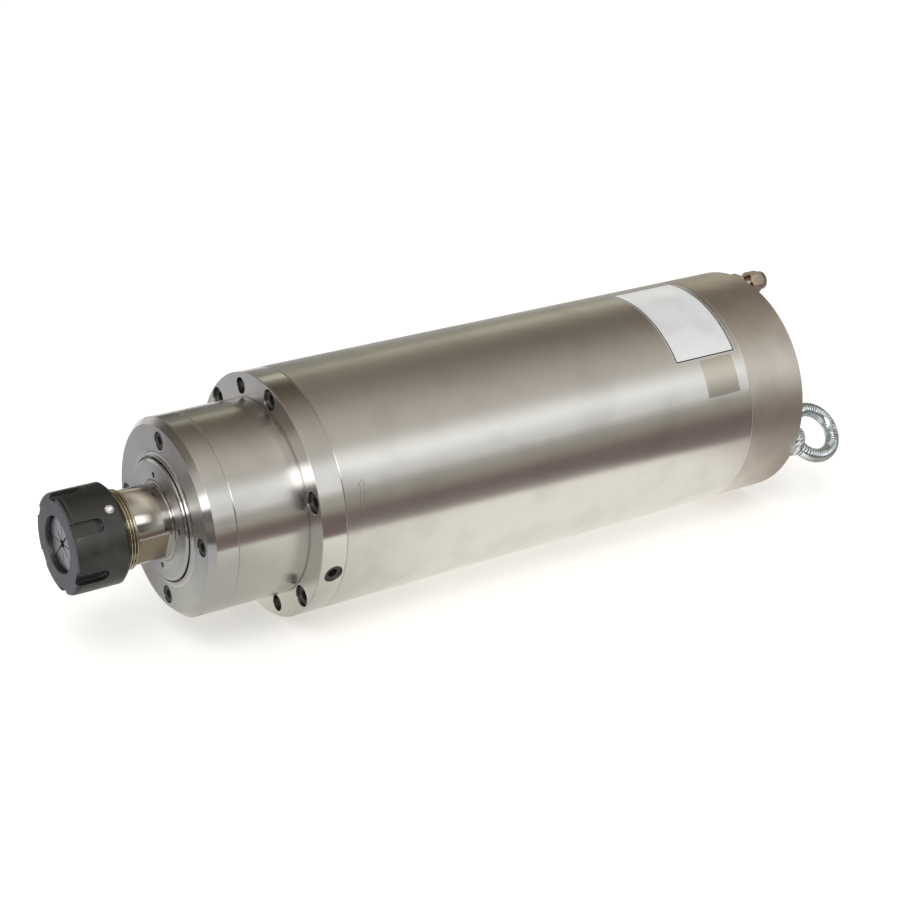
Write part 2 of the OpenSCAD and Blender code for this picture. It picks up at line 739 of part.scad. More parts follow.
module rear_cages() {
    color([0.62, 0.48, 0.30]) for (x = [rear_a_x, rear_b_x])
        cage(x, rear_bore_d, rear_od, rear_w, rear_ball_d, rear_balls_n);
}

module rear_outer_spacer() {
    color([0.6, 0.61, 0.63])
        ring(rear_a_x + rear_w, rear_b_x, rear_od / 2, rear_od / 2 - 3);
}

module rear_inner_spacer() {
    color([0.6, 0.61, 0.63])
        ring(rear_a_x + rear_w, rear_b_x, rear_bore_d / 2 + 3, rear_bore_d / 2 + 0.02);
}

module rear_locknut() {
    out_r = rear_bore_d / 2 + 6;
    color([0.35, 0.35, 0.36]) difference() {
        ring(rear_end_x, rear_end_x + 8, out_r, rear_bore_d / 2 + 0.02);
        around(spread(4)) translate([rear_end_x - 1, out_r - 1.8, -2.5]) cube([10, 4, 5]);
    }
}

module rear_cover() {
    color([0.79, 0.77, 0.75]) difference() {
        turned([[0, cavity_end_x], [cavity_r, cavity_end_x], [cavity_r, rear_end_x],
            [bore_r - slip, rear_end_x], [bore_r - slip, rear_seam_x],
            [body_r - edge, rear_seam_x], [body_r, rear_seam_x + edge],
            [body_r, rear_face_x - 0.6], [body_r - 0.6, rear_face_x], [0, rear_face_x]]);
        around(screw_angles, rear_circle_r) {
            rod(rear_seam_x - eps, rear_face_x + eps, 3.2);
            rod(rear_face_x - 7.5, rear_face_x + eps, 5.5);
        }
        around(fitting_angles, rear_circle_r) {
            rod(rear_seam_x - eps, rear_face_x + eps, channel_r);
            rod(rear_face_x - 10, rear_face_x + eps, 4.8);
        }
        around([eye_angle], eye_r) rod(rear_face_x - 15, rear_face_x + eps, 4);
        rod(cavity_end_x - eps, rear_face_x + eps, socket_r - 0.8);
        around(spread(4, 45), socket_flange_w / 2 * sqrt(2) - 4.4)
            rod(rear_face_x - 8, rear_face_x + eps, 1.5);
    }
}

// Turns a shape that faces -X so that it faces +X, with its seat kept at x
module facing_rear(x) {
    translate([2 * x, 0, 0]) mirror([1, 0, 0]) children();
}

module rear_screws() {
    color([0.12, 0.12, 0.13]) around(screw_angles, rear_circle_r)
        facing_rear(rear_face_x - 7.5) socket_screw(rear_face_x - 7.5, 6, 42);
}

module eye_bolt() {
    ring_r = eye_hole_d / 2 + eye_wire_d / 2;
    collar_r = 10;
    collar_t = 4;
    centre_x = rear_face_x + eye_hole_d / 2 + eye_wire_d;
    color([0.72, 0.76, 0.78]) around([eye_angle], eye_r)
        rotate([eye_turn - eye_angle, 0, 0]) union() {
            translate([centre_x, 0, 0]) rotate_extrude() translate([ring_r, 0])
                circle(d = eye_wire_d, $fn = 48);
            turned([[0, rear_face_x], [collar_r, rear_face_x],
                [collar_r, rear_face_x + collar_t - 1], [collar_r - 1, rear_face_x + collar_t],
                [7, rear_face_x + 5.5], [5.5, rear_face_x + 8.5], [0, rear_face_x + 8.5]]);
            rod(rear_face_x - 13, rear_face_x + eps, 3.98);
        }
}

module fitting_body() {
    hex_r = (fitting_flats + 1) / sqrt(3);
    difference() {
        union() {
            rod(rear_face_x - 8, rear_face_x + eps, 4.75);
            rod(rear_face_x, rear_face_x + fitting_base_len, hex_r, $fn = 6);
            rod(rear_face_x + fitting_base_len - eps, fitting_hex_x + 2, fitting_neck_r);
        }
        rod(rear_face_x - 9, fitting_hex_x + 3, hose_bore_d / 2);
    }
}

module water_fittings() {
    color([0.74, 0.69, 0.62]) around(fitting_angles, rear_circle_r) fitting_body();
}

module fitting_nut() {
    hex_r = fitting_flats / sqrt(3);
    end_r = fitting_flats / 2 - 0.3;
    hex_end_x = fitting_hex_x + fitting_hex_len;
    end_x = hex_end_x + fitting_end_len;
    difference() {
        union() {
            intersection() {
                rod(fitting_hex_x, hex_end_x, hex_r, $fn = 6);
                turned([[0, fitting_hex_x], [hex_r - 0.8, fitting_hex_x],
                    [hex_r, fitting_hex_x + 0.5], [hex_r, hex_end_x - 0.5],
                    [hex_r - 0.8, hex_end_x], [0, hex_end_x]]);
            }
            turned([[0, hex_end_x - eps], [end_r, hex_end_x - eps], [end_r, end_x - 1.4],
                [end_r - 1.4, end_x], [0, end_x]]);
        }
        rod(fitting_hex_x - 1, end_x + 1, hose_bore_d / 2);
        rod(fitting_hex_x - 1, fitting_hex_x + 2, fitting_neck_r);
        around(spread(ribs_n), end_r + 0.25) rod(hex_end_x + 0.6, end_x + 1, 0.65);
    }
}

module fitting_nuts() {
    color([0.74, 0.69, 0.62]) around(fitting_angles, rear_circle_r) fitting_nut();
}

module power_socket() {
    hole_circle_r = socket_flange_w / 2 * sqrt(2) - 4.4;
    half = socket_flange_w / 2;
    face_x = rear_face_x + socket_flange_t;
    color([0.72, 0.73, 0.75]) difference() {
        union() {
            intersection() {
                translate([rear_face_x, -half, -half])
                    cube([socket_flange_t, socket_flange_w, socket_flange_w]);
                rod(rear_face_x, face_x, half * sqrt(2) - 1.6);
            }
            turned([[0, socket_back_x], [socket_r - 1, socket_back_x],
                [socket_r - 1, rear_face_x], [0, rear_face_x]]);
            turned([[0, face_x - eps], [socket_r, face_x - eps],
                [socket_r, rear_face_x + socket_len - 0.8],
                [socket_r - 0.8, rear_face_x + socket_len], [0, rear_face_x + socket_len]]);
        }
        rod(socket_back_x - 1, rear_face_x + socket_len + 1, socket_bore_r);
        around(spread(4, 45), hole_circle_r) rod(rear_face_x - eps, face_x + eps, 1.7);
    }
}

module socket_insert() {
    color([0.15, 0.15, 0.16]) union() {
        rod(socket_back_x, insert_x, socket_bore_r - 0.02);
        around(spread(pins_n, 45), pin_ring_r) turned([[0, insert_x - eps],
            [pin_r, insert_x - eps], [pin_r, insert_x + 6.4], [pin_r - 0.5, insert_x + 7],
            [0, insert_x + 7]]);
    }
}

module socket_screws() {
    hole_circle_r = socket_flange_w / 2 * sqrt(2) - 4.4;
    seat_x = rear_face_x + socket_flange_t;
    color([0.5, 0.5, 0.52]) around(spread(4, 45), hole_circle_r) difference() {
        union() {
            turned([[0, seat_x], [2.7, seat_x], [2.7, seat_x + 1.2], [2, seat_x + 1.9],
                [0, seat_x + 2.1]]);
            rod(seat_x - 9, seat_x + eps, 1.45);
        }
        rod(seat_x + 0.9, seat_x + 3, 1.15, $fn = 6);
    }
}

front_flange();
flange_screws();
flange_plug();
front_cover();
cover_screws();
slinger();
spindle_shaft();
collet();
collet_nut();
barrel();
rear_cover();
rear_screws();
eye_bolt();
water_fittings();
fitting_nuts();
power_socket();
socket_insert();
socket_screws();
front_outer_rings();
front_inner_rings();
front_balls();
front_cages();
front_outer_spacer();
front_inner_spacer();
water_jacket();
jacket_seals();
stator_core();
stator_winding();
phase_leads();
rotor_core();
rotor_cage();
rear_housing();
preload_springs();
rear_outer_rings();
rear_inner_rings();
rear_balls();
rear_cages();
rear_outer_spacer();
rear_inner_spacer();
rear_locknut();
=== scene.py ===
import math

import bmesh
import bpy
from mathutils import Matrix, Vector


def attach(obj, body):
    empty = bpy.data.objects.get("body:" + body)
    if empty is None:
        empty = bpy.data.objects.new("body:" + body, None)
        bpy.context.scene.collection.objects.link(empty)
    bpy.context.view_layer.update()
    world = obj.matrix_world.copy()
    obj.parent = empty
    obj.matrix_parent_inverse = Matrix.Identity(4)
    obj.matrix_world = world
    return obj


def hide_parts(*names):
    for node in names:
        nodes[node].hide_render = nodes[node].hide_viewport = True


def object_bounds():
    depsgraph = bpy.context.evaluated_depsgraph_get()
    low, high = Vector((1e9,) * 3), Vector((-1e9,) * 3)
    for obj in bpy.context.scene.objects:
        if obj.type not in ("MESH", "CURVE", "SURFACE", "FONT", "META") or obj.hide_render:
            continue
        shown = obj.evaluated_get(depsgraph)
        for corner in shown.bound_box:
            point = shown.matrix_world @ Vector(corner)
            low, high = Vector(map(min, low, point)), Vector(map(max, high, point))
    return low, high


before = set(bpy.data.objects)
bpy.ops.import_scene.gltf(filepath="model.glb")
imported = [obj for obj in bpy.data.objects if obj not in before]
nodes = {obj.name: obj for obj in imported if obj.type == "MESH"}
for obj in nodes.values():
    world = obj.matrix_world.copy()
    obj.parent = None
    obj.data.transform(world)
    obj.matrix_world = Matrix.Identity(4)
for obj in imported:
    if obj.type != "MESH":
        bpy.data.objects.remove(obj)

bpy.ops.object.select_all(action="DESELECT")
cad_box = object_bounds()

# The camera stands in front of the nose, to the left of the spindle and above it, and the
# spindle's axis runs away from it to the right. All sizes below are in metres.
camera_place = (-0.422683, -0.803479, 0.385238)
azimuth = math.radians(-33.7606)
elevation = math.radians(21.7975)
bpy.ops.object.camera_add(
    location=camera_place, rotation=(math.radians(90) - elevation, 0, azimuth))
camera = bpy.context.object
camera.name = "camera"
camera.data.lens = 78.823
camera.data.sensor_width = 36
bpy.context.scene.camera = camera
bpy.context.scene.view_settings.view_transform = "Standard"


# The table is a white sheet under the spindle. Polished metal mirrors it as cream paper with
# painted shade towards the nose and under the rear end. Its front edge runs aslant before the
# spindle, and past that edge the metal mirrors a dark floor that grows lighter far off.
def join(tree, *pairs):
    for source, target in pairs:
        tree.links.new(source, target)


def object_place(tree):
    return tree.nodes.new("ShaderNodeTexCoord").outputs["Object"]


def split(tree, vector):
    node = tree.nodes.new("ShaderNodeSeparateXYZ")
    tree.links.new(vector, node.inputs[0])
    return node.outputs


def calculate(tree, operation, *values):
    node = tree.nodes.new("ShaderNodeMath")
    node.operation = operation
    for socket, value in zip(node.inputs, values):
        if isinstance(value, (int, float)):
            socket.default_value = value
        else:
            tree.links.new(value, socket)
    return node.outputs[0]


def between(tree, value, low, high, to_low=0.0, to_high=1.0, curve="SMOOTHSTEP"):
    node = tree.nodes.new("ShaderNodeMapRange")
    node.interpolation_type = curve
    node.inputs["From Min"].default_value = low
    node.inputs["From Max"].default_value = high
    node.inputs["To Min"].default_value = to_low
    node.inputs["To Max"].default_value = to_high
    tree.links.new(value, node.inputs["Value"])
    return node.outputs["Result"]


def blend_colours(tree, mask, first, second):
    node = tree.nodes.new("ShaderNodeMix")
    node.data_type = "RGBA"
    for socket, value in ((node.inputs["A"], first), (node.inputs["B"], second)):
        if isinstance(value, tuple):
            socket.default_value = (*value, 1)
        else:
            tree.links.new(value, socket)
    tree.links.new(mask, node.inputs["Factor"])
    return node.outputs["Result"]


def new_ramp(tree, value, stops):
    node = tree.nodes.new("ShaderNodeValToRGB")
    points = node.color_ramp.elements
    while len(points) > 1:
        points.remove(points[-1])
    for number, (place_on_ramp, colour) in enumerate(stops):
        point = points[0] if number == 0 else points.new(place_on_ramp)
        point.position = place_on_ramp
        point.color = (*colour, 1)
    tree.links.new(value, node.inputs["Fac"])
    return node.outputs["Color"]


bpy.ops.mesh.primitive_plane_add(size=8, location=(0, 0, cad_box[0][2]))
table = bpy.context.object
table.name = "table"

toned_from_x = -0.25
toned_to_x = 0.45
table_edge_y = -0.184
table_edge_slope = 0.16
table_edge_blur = 0.003
table_paper = bpy.data.materials.new("table_paper")
table_paper.use_nodes = True
table_paper.cycles.emission_sampling = "NONE"
tree = table_paper.node_tree
tree.nodes.clear()
axes = split(tree, object_place(tree))
along = between(tree, axes["X"], toned_from_x, toned_to_x, curve="LINEAR")
# Painted shade: the paper the metal mirrors is darker towards the nose and past the rear end.
front_sheet_painted_shade = new_ramp(tree, along, [
    (0.00, (0.10, 0.09, 0.09)),
    (0.04, (0.40, 0.40, 0.42)),
    (0.20, (0.46, 0.46, 0.44)),
    (0.33, (0.47, 0.46, 0.41)),
    (0.37, (0.56, 0.55, 0.49)),
    (0.42, (0.76, 0.74, 0.67)),
    (0.49, (0.94, 0.92, 0.83)),
    (0.76, (0.96, 0.93, 0.85)),
    (0.82, (0.42, 0.37, 0.34)),
    (1.00, (0.34, 0.30, 0.28)),
])
# Painted shade: behind the axis the mirrored paper is darker towards the nose.
back_sheet_painted_shade = new_ramp(tree, along, [
    (0.00, (0.16, 0.15, 0.15)),
    (0.04, (0.42, 0.42, 0.44)),
    (0.18, (0.44, 0.44, 0.45)),
    (0.24, (0.58, 0.58, 0.53)),
    (0.34, (0.68, 0.67, 0.58)),
    (0.42, (0.95, 0.94, 0.90)),
])
behind_axis = between(tree, axes["Y"], -0.03, 0.02)
sheet = blend_colours(tree, behind_axis, front_sheet_painted_shade, back_sheet_painted_shade)
across_edge = calculate(tree, "MULTIPLY_ADD", axes["X"], -table_edge_slope, axes["Y"])
on_sheet = between(tree, across_edge, table_edge_y - table_edge_blur,
                   table_edge_y + table_edge_blur, curve="LINEAR")
near_edge = between(tree, axes["Y"], -0.95, -0.30)
floor = blend_colours(tree, near_edge, (0.34, 0.32, 0.265), (0.18, 0.135, 0.122))
mirrored = tree.nodes.new("ShaderNodeEmission")
path = tree.nodes.new("ShaderNodeLightPath")
paper = tree.nodes.new("ShaderNodeBsdfDiffuse")
paper.inputs["Color"].default_value = (0.86, 0.84, 0.80, 1)
white = tree.nodes.new("ShaderNodeEmission")
white.inputs["Strength"].default_value = 0.35
no_light = tree.nodes.new("ShaderNodeEmission")
no_light.inputs["Color"].default_value = (0, 0, 0, 1)
camera_white = tree.nodes.new("ShaderNodeMixShader")
lit_paper = tree.nodes.new("ShaderNodeAddShader")
seen = tree.nodes.new("ShaderNodeMixShader")
out = tree.nodes.new("ShaderNodeOutputMaterial")
join(tree,
     (blend_colours(tree, on_sheet, floor, sheet), mirrored.inputs["Color"]),
     (path.outputs["Is Camera Ray"], camera_white.inputs["Fac"]),
     (no_light.outputs[0], camera_white.inputs[1]),
     (white.outputs[0], camera_white.inputs[2]),
     (paper.outputs[0], lit_paper.inputs[0]),
     (camera_white.outputs[0], lit_paper.inputs[1]),
     (path.outputs["Is Glossy Ray"], seen.inputs["Fac"]),
     (lit_paper.outputs[0], seen.inputs[1]),
     (mirrored.outputs[0], seen.inputs[2]),
     (seen.outputs[0], out.inputs["Surface"]))
table.data.materials.append(table_paper)


# The studio is what the metal mirrors, set up as tones round the spindle's axis. The barrel
# mirrors the lamps, the nose a cloth beside them, narrow steps the side cloths, and faces that
# look forward the room to the left. Matt surfaces get a plain white light.
def angle_round_axis(tree, axes):
    return calculate(tree, "ARCTAN2", axes["Z"], axes["Y"])


# The stops are in degrees: 0 is straight behind, 90 overhead and 180 on the camera's side.
def studio_ramp(tree, angle, stops):
    return new_ramp(tree, angle, [((degrees + 180) / 360, colour) for degrees, colour in stops])


studio = bpy.data.worlds.new("studio")
bpy.context.scene.world = studio
studio.use_nodes = True
studio.cycles.sampling_method = "NONE"
tree = studio.node_tree
tree.nodes.clear()
axes = split(tree, tree.nodes.new("ShaderNodeTexCoord").outputs["Generated"])
angle = between(tree, angle_round_axis(tree, axes), -math.pi, math.pi, curve="LINEAR")
reach = between(tree, axes["X"], -1, 1, curve="LINEAR")

# A pale far wall, a strip lamp high up behind, a dark ceiling that grows lighter towards the
# camera, a bright softbox beside the camera and a dark room below it.
lamps = studio_ramp(tree, angle, (
    (-180, (0.38, 0.35, 0.29)),
    (-163, (0.13, 0.10, 0.08)),
    (-148, (0.13, 0.10, 0.08)),
    (-60, (0.55, 0.54, 0.53)),
    (-30, (0.55, 0.55, 0.55)),
    (-16, (0.68, 0.68, 0.70)),
    (0, (0.60, 0.58, 0.58)),
    (12, (0.42, 0.40, 0.34)),
    (23, (0.42, 0.40, 0.32)),
    (27, (1.05, 1.00, 0.80)),
    (32, (1.05, 1.00, 0.80)),
    (38, (0.26, 0.23, 0.17)),
    (49, (0.09, 0.07, 0.05)),
    (66, (0.09, 0.07, 0.05)),
    (104, (0.23, 0.19, 0.14)),
    (122, (0.40, 0.36, 0.28)),
    (135, (0.55, 0.54, 0.49)),
    (146, (1.12, 1.13, 1.10)),
    (166, (1.14, 1.15, 1.15)),
    (171, (0.64, 0.62, 0.55)),
    (176, (0.42, 0.40, 0.33)),
))
# Dark behind, and pale overhead on the camera's side.
cloths = studio_ramp(tree, angle, (
    (-180, (0.60, 0.58, 0.54)),
    (-150, (0.62, 0.60, 0.57)),
    (-40, (0.18, 0.18, 0.18)),
    (-8, (0.16, 0.16, 0.16)),
    (2, (0.04, 0.04, 0.04)),
    (50, (0.02, 0.02, 0.01)),
    (68, (0.14, 0.12, 0.10)),
    (86, (0.39, 0.35, 0.30)),
    (110, (0.80, 0.77, 0.70)),
    (122, (0.80, 0.78, 0.74)),
    (146, (0.45, 0.45, 0.45)),
    (170, (0.42, 0.41, 0.38)),
))
# Grey all round, and cream overhead.
side_cloths = studio_ramp(tree, angle, (
    (-180, (0.38, 0.35, 0.32)),
    (-150, (0.40, 0.34, 0.32)),
    (-40, (0.58, 0.58, 0.58)),
    (0, (0.46, 0.45, 0.43)),
    (29, (0.60, 0.58, 0.47)),
    (40, (0.38, 0.35, 0.28)),
    (58, (0.80, 0.72, 0.60)),
    (86, (1.05, 0.96, 0.82)),
    (106, (0.90, 0.84, 0.72)),
    (132, (0.36, 0.34, 0.30)),
    (150, (0.24, 0.24, 0.23)),
    (168, (0.40, 0.39, 0.36)),
))
# Pale behind and dark overhead, with one strong lamp high up on the camera's side.
left_room = studio_ramp(tree, angle, (
    (-150, (0.10, 0.09, 0.08)),
    (-60, (0.62, 0.62, 0.63)),
    (6, (0.70, 0.69, 0.69)),
    (20, (0.20, 0.18, 0.16)),
    (32, (0.07, 0.06, 0.05)),
    (84, (0.22, 0.19, 0.16)),
    (104, (0.62, 0.59, 0.54)),
    (130, (0.60, 0.58, 0.54)),
    (138, (2.4, 2.4, 2.35)),
    (151, (2.4, 2.4, 2.35)),
    (160, (0.16, 0.15, 0.14)),
))
shown = (1, 1, 1)
hidden = (0, 0, 0)
show_lamps = new_ramp(tree, reach, [
    (0.620, shown), (0.650, hidden), (0.713, hidden), (0.723, shown), (0.86, shown),
    (0.94, hidden)])
show_side = new_ramp(tree, reach, [(0.56, shown), (0.64, hidden)])
show_left = new_ramp(tree, reach, [(0.45, shown), (0.55, hidden)])
path = tree.nodes.new("ShaderNodeLightPath")
surround = blend_colours(tree, show_lamps, cloths, lamps)
surround = blend_colours(tree, show_side, surround, side_cloths)
surround = blend_colours(tree, show_left, surround, left_room)
surround = blend_colours(tree, path.outputs["Is Diffuse Ray"], surround, (0.80, 0.80, 0.80))
surround = blend_colours(tree, path.outputs["Is Camera Ray"], surround, (1, 1, 1))
light = tree.nodes.new("ShaderNodeBackground")
out = tree.nodes.new("ShaderNodeOutputWorld")
join(tree, (surround, light.inputs["Color"]), (light.outputs[0], out.inputs["Surface"]))

# A large soft lamp hangs above and to the left of the camera. It draws the soft shadow.
lamp_aim = Vector((0.1, 0, 0))
bpy.ops.object.light_add(type="AREA", location=(-0.7, -0.9, 1.5))
key = bpy.context.object
key.name = "key_lamp"
key.data.size = 1.2
key.data.energy = 12
key.rotation_euler = (lamp_aim - key.location).to_track_quat("-Z", "Y").to_euler()
key.visible_glossy = False


# The shaft is ground from alloy steel. Its neck shines like a mirror, and the two wrench flats
# are milled and duller. Grinding marks run round it, so the metal blurs what it mirrors
# along the axis and keeps it sharp round the shaft.
def new_group(name, inputs, outputs):
    group = bpy.data.node_groups.new(name, "ShaderNodeTree")
    for label, value in inputs:
        socket = group.interface.new_socket(
            name=label, in_out="INPUT", socket_type="NodeSocketFloat")
        socket.default_value = value
    for label in outputs:
        kind = "NodeSocketVector" if label == "Normal" else "NodeSocketFloat"
        group.interface.new_socket(name=label, in_out="OUTPUT", socket_type=kind)
    return group, group.nodes.new("NodeGroupInput"), group.nodes.new("NodeGroupOutput")


def cloud(tree, vector, scale, detail):
    node = tree.nodes.new("ShaderNodeTexNoise")
    node.inputs["Scale"].default_value = scale
    node.inputs["Detail"].default_value = detail
    tree.links.new(vector, node.inputs["Vector"])
    return node.outputs["Fac"]


def stretched(tree, vector, scale, rotation=(0, 0, 0)):
    node = tree.nodes.new("ShaderNodeMapping")
    node.inputs["Rotation"].default_value = rotation
    node.inputs["Scale"].default_value = scale
    tree.links.new(vector, node.inputs["Vector"])
    return node.outputs[0]


def measure(tree, operation, first, second):
    node = tree.nodes.new("ShaderNodeVectorMath")
    node.operation = operation
    tree.links.new(first, node.inputs[0])
    if isinstance(second, tuple):
        node.inputs[1].default_value = second
    else:
        tree.links.new(second, node.inputs[1])
    return node.outputs["Value"]


# Marks left by a tool or wheel that goes round the spindle's axis: rings along a cylinder and
# across a face, and slow waves that bend what the metal mirrors.
turned_marks, given, made = new_group(
    "turned_marks", [("Lines per metre", 900.0)], ["Lines", "Waves"])
place = object_place(turned_marks)
axes = split(turned_marks, place)
off_axis = calculate(turned_marks, "SQRT", calculate(
    turned_marks, "ADD", calculate(turned_marks, "POWER", axes["Y"], 2.0),
    calculate(turned_marks, "POWER", axes["Z"], 2.0)))
turn = angle_round_axis(turned_marks, axes)
rings = turned_marks.nodes.new("ShaderNodeCombineXYZ")
join(turned_marks,
     (calculate(turned_marks, "MULTIPLY", axes["X"], given.outputs[0]), rings.inputs["X"]),
     (calculate(turned_marks, "MULTIPLY", off_axis, given.outputs[0]), rings.inputs["Y"]),
     (calculate(turned_marks, "MULTIPLY", turn, 0.6), rings.inputs["Z"]),
     (cloud(turned_marks, rings.outputs[0], 1.0, 1.0), made.inputs["Lines"]),
     (cloud(turned_marks, stretched(turned_marks, place, (20, 42, 42)), 1.0, 0.0),
      made.inputs["Waves"]))

# Traces of use: smudges from fingers and short thin scratches.
handling, given, made = new_group("handling", [("Scratches", 0.5)], ["Smudge", "Scratch"])
place = object_place(handling)
streaks = stretched(handling, place, (110, 2200, 2200), (0.2, 0.35, 0.5))
strokes = between(handling, cloud(handling, streaks, 1.0, 0.0), 0.80, 0.84)
patches = between(handling, cloud(handling, place, 40.0, 2.0), 0.58, 0.66)
join(handling,
     (between(handling, cloud(handling, place, 38.0, 4.0), 0.46, 0.66), made.inputs["Smudge"]),
     (calculate(handling, "MULTIPLY", calculate(handling, "MULTIPLY", strokes, patches),
                given.outputs[0]), made.inputs["Scratch"]))

# Rounded edges, as every machined part has: their normal, and a mask for what is worn there.
edge_wear, given, made = new_group("edge_wear", [("Width", 0.0004)], ["Normal", "Edge"])
bevel = edge_wear.nodes.new("ShaderNodeBevel")
bevel.samples = 4
surface = edge_wear.nodes.new("ShaderNodeNewGeometry")
facing = measure(edge_wear, "DOT_PRODUCT", bevel.outputs[0], surface.outputs["Normal"])
join(edge_wear,
     (given.outputs[0], bevel.inputs["Radius"]),
     (between(edge_wear, facing, 0.80, 0.985, 1.0, 0.0), made.inputs["Edge"]),
     (bevel.outputs[0], made.inputs["Normal"]))


def new_finish(name, metallic=1.0):
    material = bpy.data.materials.new(name)
    material.use_nodes = True
    shader = material.node_tree.nodes["Principled BSDF"]
    shader.inputs["Metallic"].default_value = metallic
    return material, material.node_tree, shader


def add_group(tree, group, value=None):
    node = tree.nodes.new("ShaderNodeGroup")
    node.node_tree = group
    if value is not None:
        node.inputs[0].default_value = value
    return node.outputs


def bump(tree, height, distance, normal=None):
    node = tree.nodes.new("ShaderNodeBump")
    node.inputs["Distance"].default_value = distance
    tree.links.new(height, node.inputs["Height"])
    if normal is not None:
        tree.links.new(normal, node.inputs["Normal"])
    return node.outputs[0]


def shade(colour, factor):
    return tuple(factor * part for part in colour)


def feed(tree, shader, tone, rough, normal=None):
    join(tree, (tone, shader.inputs["Base Color"]), (rough, shader.inputs["Roughness"]))
    if normal is not None:
        tree.links.new(normal, shader.inputs["Normal"])


def tint(tree, shader, mask, colour):
    tone = shader.inputs["Base Color"].links[0].from_socket
    tree.links.new(blend_colours(tree, mask, tone, colour), shader.inputs["Base Color"])


def roughen(tree, shader, mask, amount):
    rough = shader.inputs["Roughness"].links[0].from_socket
    more = calculate(tree, "MULTIPLY", mask, amount)
    tree.links.new(calculate(tree, "ADD", rough, more), shader.inputs["Roughness"])


def turned_steel(name, colour, roughness, smear, wave_depth, lines_per_metre=900.0,
                 edge=0.0003, face_roughness=None):
    line_depth = 0.0000001
    material, tree, shader = new_finish(name)
    shader.inputs["Anisotropic"].default_value = smear
    shader.inputs["Anisotropic Rotation"].default_value = 0.25
    tangent = tree.nodes.new("ShaderNodeTangent")
    tangent.direction_type = "RADIAL"
    tangent.axis = "X"
    tree.links.new(tangent.outputs[0], shader.inputs["Tangent"])
    marks = add_group(tree, turned_marks, lines_per_metre)
    use = add_group(tree, handling, 0.6)
    rounded = None
    if edge is not None:
        rounded = add_group(tree, edge_wear, edge)["Normal"]
    tone = blend_colours(tree, use["Smudge"], colour, shade(colour, 0.93))
    tone = blend_colours(tree, use["Scratch"], tone, (0.92, 0.91, 0.90))
    rough = calculate(
        tree, "ADD",
        between(tree, marks["Lines"], 0.3, 0.7, roughness * 0.97, roughness * 1.03),
        calculate(tree, "MULTIPLY", use["Smudge"], 0.012))
    waves = bump(tree, marks["Waves"], wave_depth, rounded)
    feed(tree, shader, tone, rough, bump(tree, marks["Lines"], line_depth, waves))
    if face_roughness is not None:
        surface = tree.nodes.new("ShaderNodeNewGeometry")
        facing = calculate(tree, "ABSOLUTE", split(tree, surface.outputs["Normal"])["X"])
        end_face = calculate(tree, "GREATER_THAN", facing, 0.97)
        roughen(tree, shader, end_face, face_roughness - roughness)
    return material, tree, shader


def within(tree, value, low, high):
    return calculate(
        tree, "MULTIPLY", calculate(tree, "GREATER_THAN", value, low),
        calculate(tree, "LESS_THAN", value, high))


def select_where(piece, test):
    bpy.ops.object.select_all(action="DESELECT")
    bpy.context.view_layer.objects.active = piece
    piece.select_set(True)
    bpy.ops.object.mode_set(mode="EDIT")
    mesh = bmesh.from_edit_mesh(piece.data)
    for point in mesh.verts:
        point.select_set(test(point.co))
    mesh.select_flush(True)
    bmesh.update_edit_mesh(piece.data)


def copy_of(node, name):
    piece = bpy.data.objects.new(name, nodes[node].data.copy())
    bpy.context.scene.collection.objects.link(piece)
    select_where(piece, lambda point: True)
    bpy.ops.mesh.remove_doubles(threshold=0.000002)
    bpy.ops.object.mode_set(mode="OBJECT")
    return piece


def thread_ridge(name, start_x, end_x, crest, pitch, side):
    centre = side / math.sqrt(3)
    bpy.ops.mesh.primitive_circle_add(
        vertices=3, radius=centre, fill_type="NOTHING",
        location=(start_x - pitch, 0, crest - centre), rotation=(math.radians(90), 0, 0))
    ridge = bpy.context.object
    ridge.name = name
    bpy.ops.object.transform_apply(location=True, rotation=True, scale=True)
    winding = ridge.modifiers.new("winding", "SCREW")
    winding.axis = "X"
    winding.screw_offset = pitch
    winding.iterations = math.ceil((end_x - start_x) / pitch) + 2
    winding.steps = 64
    winding.render_steps = 64
    winding.use_normal_calculate = True
    bpy.ops.object.modifier_apply(modifier=winding.name)
    for cut, keeps_inner in ((start_x, False), (end_x, True)):
        bpy.ops.object.mode_set(mode="EDIT")
        bpy.ops.mesh.select_all(action="SELECT")
        bpy.ops.mesh.bisect(
            plane_co=(cut, 0, 0), plane_no=(1, 0, 0), use_fill=True,
            clear_inner=not keeps_inner, clear_outer=keeps_inner)
        bpy.ops.object.mode_set(mode="OBJECT")
    bpy.ops.object.mode_set(mode="EDIT")
    bpy.ops.mesh.select_all(action="SELECT")
    bpy.ops.mesh.normals_make_consistent(inside=False)
    bpy.ops.object.mode_set(mode="OBJECT")
    return ridge


flat_angle = math.radians(203.5)
flat_start_x = -0.0738
flat_end_x = -0.0575
flat_inner_r = 0.01695
flat_outer_r = 0.01706
shaft_steel, tree, shader = turned_steel(
    "shaft_steel", (0.57, 0.54, 0.50), roughness=0.09, smear=0.6, wave_depth=0.000004)
place = object_place(tree)
out_to_flat = calculate(tree, "ABSOLUTE", measure(
    tree, "DOT_PRODUCT", place, (0, math.cos(flat_angle), math.sin(flat_angle))))
on_flat = calculate(
    tree, "MULTIPLY", within(tree, out_to_flat, flat_inner_r, flat_outer_r),
    within(tree, split(tree, place)["X"], flat_start_x, flat_end_x))
tint(tree, shader, on_flat, (0.40, 0.335, 0.25))
roughen(tree, shader, on_flat, 0.16)

